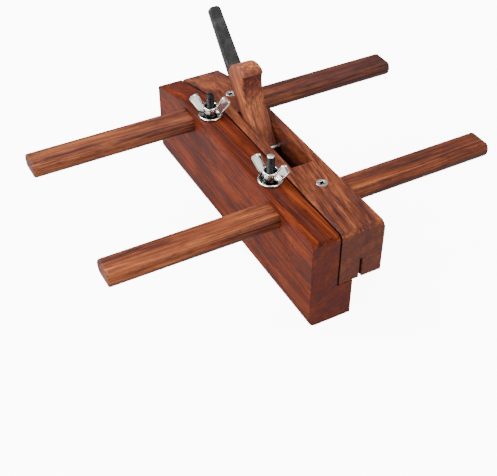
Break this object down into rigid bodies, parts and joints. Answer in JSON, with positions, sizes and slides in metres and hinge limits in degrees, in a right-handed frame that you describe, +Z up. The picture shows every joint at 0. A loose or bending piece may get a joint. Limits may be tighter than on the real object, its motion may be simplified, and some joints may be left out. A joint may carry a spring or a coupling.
{
  "type": "plough plane",
  "caption": "Wooden plough plane: stock with an open throat, wedged narrow iron and steel skates, and an L-shaped fence sliding on arms with wing nut clamps.",
  "frame": {"origin": "on the supporting surface, under the middle of the bounding box: mid-length of the stock and mid-length of the rear arm, at the fence's underside", "axes": "+Z up, +X the cutting direction along the stock, +Y along the arms, away from the fence"},
  "size_m": [0.24, 0.3064, 0.1344],
  "materials": {
    "stock_rosewood": "satin oiled rosewood",
    "fence_rosewood": "satin oiled rosewood",
    "arm_rosewood": "satin oiled rosewood with dark streaks",
    "wedge_rosewood": "satin oiled rosewood",
    "forged_iron": "dark forge scale with a bright ground tip",
    "bright_steel": "bright drawn steel",
    "skate_steel": "plain rolled steel",
    "screw_plating": "bright zinc plating",
    "nut_plating": "bright nickel plating",
    "dark_stud_steel": "blackened threaded steel"
  },
  "bodies": {
    "stock": {"plane_body": "stock_rosewood", "rear_arm": "arm_rosewood", "front_arm": "arm_rosewood", "throat_pin": "bright_steel", "rear_skate": "skate_steel", "front_skate": "skate_steel", "skate_pins": "skate_steel", "rear_arm_screw": "screw_plating", "front_arm_screw": "screw_plating"},
    "sliding_fence": {"fence": "fence_rosewood", "rear_clamp_stud": "dark_stud_steel", "front_clamp_stud": "dark_stud_steel", "rear_clamp_dog": "skate_steel", "front_clamp_dog": "skate_steel"},
    "rear_washer_body": {"rear_washer": "nut_plating"},
    "rear_nut_body": {"rear_wing_nut": "nut_plating"},
    "front_washer_body": {"front_washer": "nut_plating"},
    "front_nut_body": {"front_wing_nut": "nut_plating"},
    "iron_body": {"cutting_iron": "forged_iron"},
    "wedge_body": {"wedge": "wedge_rosewood"}
  },
  "joints": [
    {"name": "fence_slide", "type": "slide", "parent": "stock", "child": "sliding_fence", "axis": [0, -1, 0], "range_m": [0, 0.11]},
    {"name": "rear_washer_lift", "type": "slide", "parent": "sliding_fence", "child": "rear_washer_body", "axis": [0, 0, 1], "range_m": [0, 0.002]},
    {"name": "rear_nut_turn", "type": "hinge", "parent": "rear_washer_body", "child": "rear_nut_body", "pos_m": [-0.0445, -0.0163, 0.08], "axis": [0, 0, 1], "range_deg": [0, 720]},
    {"name": "front_washer_lift", "type": "slide", "parent": "sliding_fence", "child": "front_washer_body", "axis": [0, 0, 1], "range_m": [0, 0.002]},
    {"name": "front_nut_turn", "type": "hinge", "parent": "front_washer_body", "child": "front_nut_body", "pos_m": [0.047, -0.0163, 0.08], "axis": [0, 0, 1], "range_deg": [0, 720]},
    {"name": "iron_set", "type": "slide", "parent": "stock", "child": "iron_body", "axis": [-0.6947, 0, 0.7193], "range_m": [-0.002, 0.05]},
    {"name": "wedge_draw", "type": "slide", "parent": "stock", "child": "wedge_body", "axis": [-0.6947, 0, 0.7193], "range_m": [0, 0.05]}
  ],
  "couplings": [
    {"joint": "rear_washer_lift", "follows": "rear_nut_turn", "m_per_rad": 0.00015915},
    {"joint": "front_washer_lift", "follows": "front_nut_turn", "m_per_rad": 0.00015915}
  ]
}
